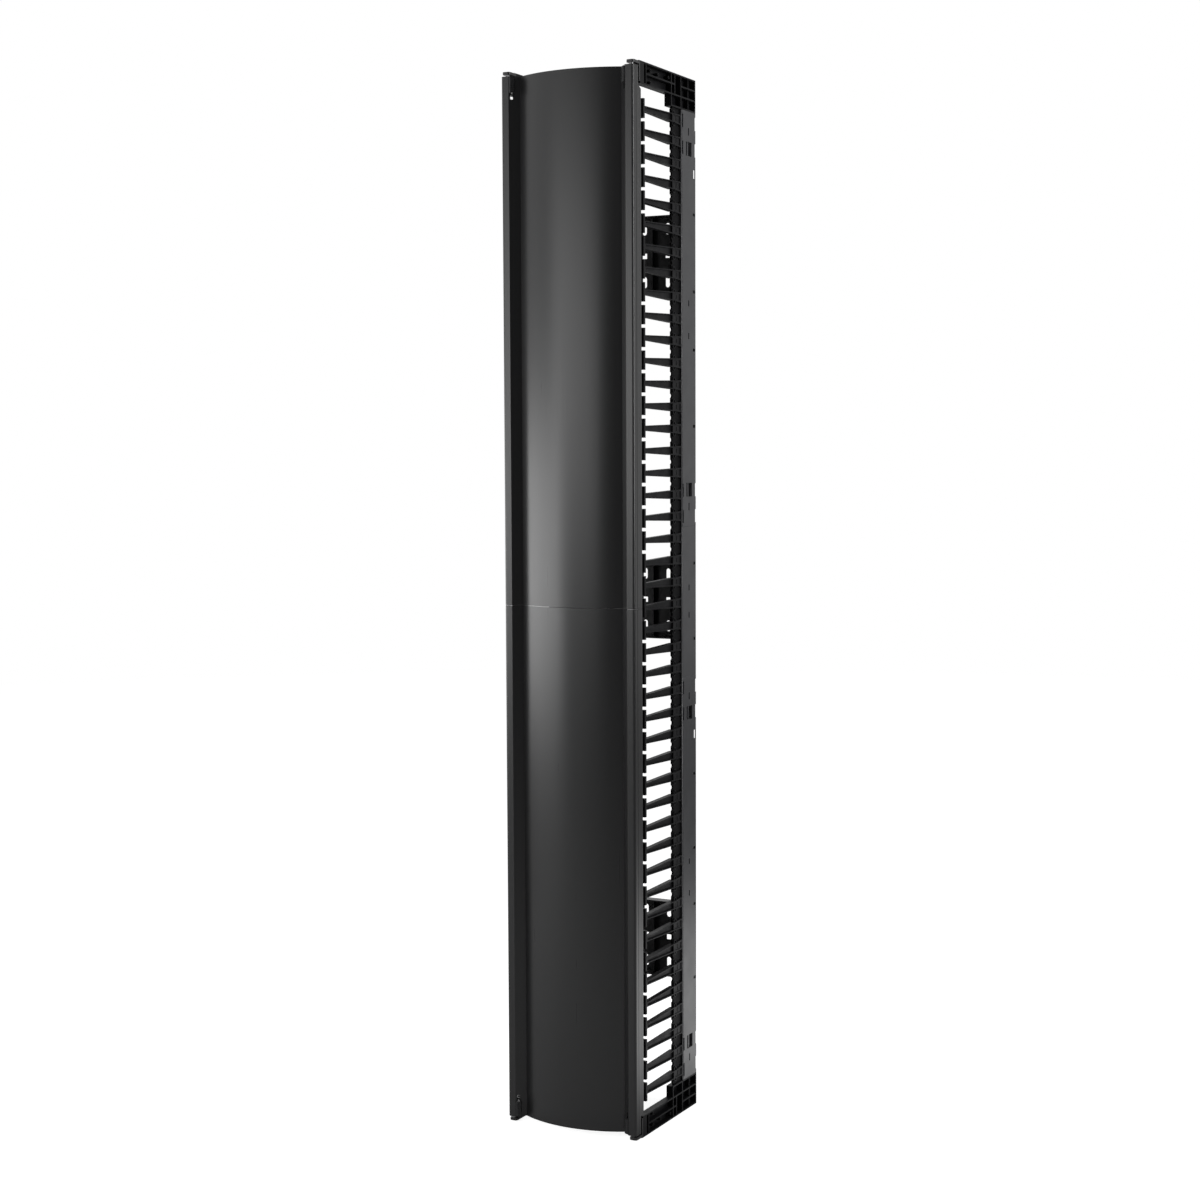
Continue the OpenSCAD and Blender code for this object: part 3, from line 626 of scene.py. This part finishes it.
class CABLE_OT_screws(bpy.types.Operator):
    """Replace the plain screws by ones with a socket and a thread"""

    bl_idname = "cable_manager.screws"
    bl_label = "Screws"

    def execute(self, context):
        settings = context.scene.cable_hardware
        finish = plated_steel("black_zinc", settings.screw_colour, SCREW_ROUGHNESS)
        for node, head, axis in SCREWS:

            def build(shape, node=node, head=head, axis=axis):
                for low, high in solids_of(node):
                    toward = self.shank_way(node, low, high)
                    place = screw_place(low, high, axis, toward)
                    turned_screw(shape, place, head, (high - low)[axis], settings)

            piece = mesh_object(node + "_detailed", build, finish, "frame")
            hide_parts(node)
        return {"FINISHED"}

    def shank_way(self, node, low, high):
        """1 where the shank runs the positive way from its head, and -1 where it runs the other way."""
        if node == "panel_screws":
            return -1
        if node == "bracket_screws":
            return 1
        return 1 if low.z < HIGH.z / 2.0 else -1


class CABLE_OT_studio(bpy.types.Operator):
    """Set up the pale floor, the soft lights, the white surroundings and the camera"""

    bl_idname = "cable_manager.studio"
    bl_label = "Studio"

    def execute(self, context):
        settings = context.scene.cable_studio
        context.scene.view_settings.view_transform = "Standard"
        self.make_world(context.scene)
        self.make_floor(settings)
        for key, box in SOFT_BOXES.items():
            self.make_light(key + "_light", *box, getattr(settings, key + "_watts"))
        self.make_camera(context.scene, settings)
        return {"FINISHED"}

    def make_world(self, scene):
        world = bpy.data.worlds.new("studio")
        world.use_nodes = True
        tree = world.node_tree
        tree.nodes.clear()
        output = tree.nodes.new("ShaderNodeOutputWorld")
        path = tree.nodes.new("ShaderNodeLightPath")
        direction = tree.nodes.new("ShaderNodeTexCoord")
        # Seen directly the surroundings are white, and mirrored they follow the ramp
        facing = math_node(tree, "DOT_PRODUCT", "ShaderNodeVectorMath")
        facing.inputs[1].default_value = BACKDROP_WAY
        ramp = smooth_ramp(tree, BACKDROP_RAMP)
        seen = math_node(tree, "MAXIMUM")
        soft = math_node(tree, "MULTIPLY_ADD")
        soft.inputs[1].default_value = 1.0 - MATT_SHARE
        soft.inputs[2].default_value = MATT_SHARE
        lit = math_node(tree, "MULTIPLY")
        strength = math_node(tree, "MAXIMUM")
        background = tree.nodes.new("ShaderNodeBackground")
        background.inputs["Color"].default_value = WHITE
        link = tree.links.new
        link(direction.outputs["Generated"], facing.inputs[0])
        link(facing.outputs["Value"], ramp.inputs["Value"])
        link(path.outputs["Is Camera Ray"], seen.inputs[0])
        link(path.outputs["Is Transmission Ray"], seen.inputs[1])
        link(path.outputs["Is Glossy Ray"], soft.inputs[0])
        link(ramp.outputs["Result"], lit.inputs[0])
        link(soft.outputs["Value"], lit.inputs[1])
        link(seen.outputs["Value"], strength.inputs[0])
        link(lit.outputs["Value"], strength.inputs[1])
        link(strength.outputs["Value"], background.inputs["Strength"])
        link(background.outputs["Background"], output.inputs["Surface"])
        scene.world = world

    def make_floor(self, settings):
        mesh = bpy.data.meshes.new("floor")
        shape = bmesh.new()
        bmesh.ops.create_circle(shape, cap_ends=True, segments=96, radius=settings.floor_radius)
        shape.to_mesh(mesh)
        shape.free()
        floor = bpy.data.objects.new("floor", mesh)
        floor.location.z = LOW.z
        bpy.context.scene.collection.objects.link(floor)
        material = bpy.data.materials.new("pale_floor")
        material.use_nodes = True
        tree = material.node_tree
        shader = tree.nodes["Principled BSDF"]
        shader.inputs["Base Color"].default_value = FLOOR_GREY
        shader.inputs["Roughness"].default_value = 0.9
        shader.inputs["Specular IOR Level"].default_value = 0.0
        shader.inputs["Emission Color"].default_value = WHITE
        # Seen directly the floor is as white as the backdrop, and mirrored it is a pool of light
        path = tree.nodes.new("ShaderNodeLightPath")
        place = tree.nodes.new("ShaderNodeTexCoord")
        reach = math_node(tree, "DISTANCE", "ShaderNodeVectorMath")
        reach.inputs[1].default_value = POOL_CENTRE
        pool = smooth_ramp(tree, POOL_RAMP)
        mirrored = math_node(tree, "MULTIPLY")
        seen = math_node(tree, "MAXIMUM")
        white = math_node(tree, "MULTIPLY_ADD")
        white.inputs[1].default_value = FLOOR_GLOW
        link = tree.links.new
        link(place.outputs["Object"], reach.inputs[0])
        link(reach.outputs["Value"], pool.inputs["Value"])
        link(path.outputs["Is Glossy Ray"], mirrored.inputs[0])
        link(pool.outputs["Result"], mirrored.inputs[1])
        link(path.outputs["Is Camera Ray"], seen.inputs[0])
        link(path.outputs["Is Transmission Ray"], seen.inputs[1])
        link(seen.outputs["Value"], white.inputs[0])
        link(mirrored.outputs["Value"], white.inputs[2])
        link(white.outputs["Value"], shader.inputs["Emission Strength"])
        mesh.materials.append(material)

    def make_light(self, name, place, target, width, height, watts):
        data = bpy.data.lights.new(name, "AREA")
        data.shape = "RECTANGLE"
        data.size = width
        data.size_y = height
        data.energy = watts
        light = bpy.data.objects.new(name, data)
        light.location = place
        aim = Vector(target) - Vector(place)
        light.rotation_euler = aim.to_track_quat("-Z", "Y").to_euler()
        light.visible_camera = False
        bpy.context.scene.collection.objects.link(light)

    def make_camera(self, scene, settings):
        data = bpy.data.cameras.new("camera")
        data.sensor_width = 36.0
        data.lens = settings.lens
        camera = bpy.data.objects.new("camera", data)
        yaw, pitch, roll = settings.camera_yaw, settings.camera_pitch, settings.camera_roll
        look = Vector((-math.sin(yaw) * math.cos(pitch), math.cos(yaw) * math.cos(pitch), -math.sin(pitch)))
        right = Vector((math.cos(yaw), math.sin(yaw), 0.0))
        up = right.cross(look)
        rolled_right = right * math.cos(roll) + up * math.sin(roll)
        rolled_up = up * math.cos(roll) - right * math.sin(roll)
        turn = Matrix((rolled_right, rolled_up, -look)).transposed().to_4x4()
        camera.matrix_world = Matrix.Translation(Vector(settings.camera_place)) @ turn
        scene.collection.objects.link(camera)
        scene.camera = camera


class CABLE_PT_panel(bpy.types.Panel):
    """Lists the steps that dress the cable manager"""

    bl_label = "Cable Manager"
    bl_idname = "CABLE_PT_panel"
    bl_space_type = "VIEW_3D"
    bl_region_type = "UI"
    bl_category = "Cable Manager"

    def draw(self, context):
        for operator in OPERATORS:
            self.layout.operator(operator.bl_idname)
        for name in SETTINGS:
            group = getattr(context.scene, name)
            box = self.layout.box()
            for key in group.bl_rna.properties.keys():
                if key not in ("rna_type", "name"):
                    box.prop(group, key)


OPERATORS = (
    CABLE_OT_door,
    CABLE_OT_walls,
    CABLE_OT_edge_beads,
    CABLE_OT_mouldings,
    CABLE_OT_latches,
    CABLE_OT_screws,
    CABLE_OT_studio,
)
SETTINGS = {
    "cable_door": DoorFinishSettings,
    "cable_walls": WallFinishSettings,
    "cable_mouldings": MouldingFinishSettings,
    "cable_hardware": HardwareSettings,
    "cable_studio": StudioSettings,
}


def register():
    for group in SETTINGS.values():
        bpy.utils.register_class(group)
    for name, group in SETTINGS.items():
        setattr(bpy.types.Scene, name, PointerProperty(type=group))
    for operator in OPERATORS:
        bpy.utils.register_class(operator)
    bpy.utils.register_class(CABLE_PT_panel)


def unregister():
    bpy.utils.unregister_class(CABLE_PT_panel)
    for operator in reversed(OPERATORS):
        bpy.utils.unregister_class(operator)
    for name, group in SETTINGS.items():
        delattr(bpy.types.Scene, name)
        bpy.utils.unregister_class(group)


def main():
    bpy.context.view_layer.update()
    register()
    bpy.ops.cable_manager.door()
    bpy.ops.cable_manager.walls()
    bpy.ops.cable_manager.edge_beads()
    bpy.ops.cable_manager.mouldings()
    bpy.ops.cable_manager.latches()
    bpy.ops.cable_manager.screws()
    bpy.ops.cable_manager.studio()


if __name__ == "__main__":
    main()
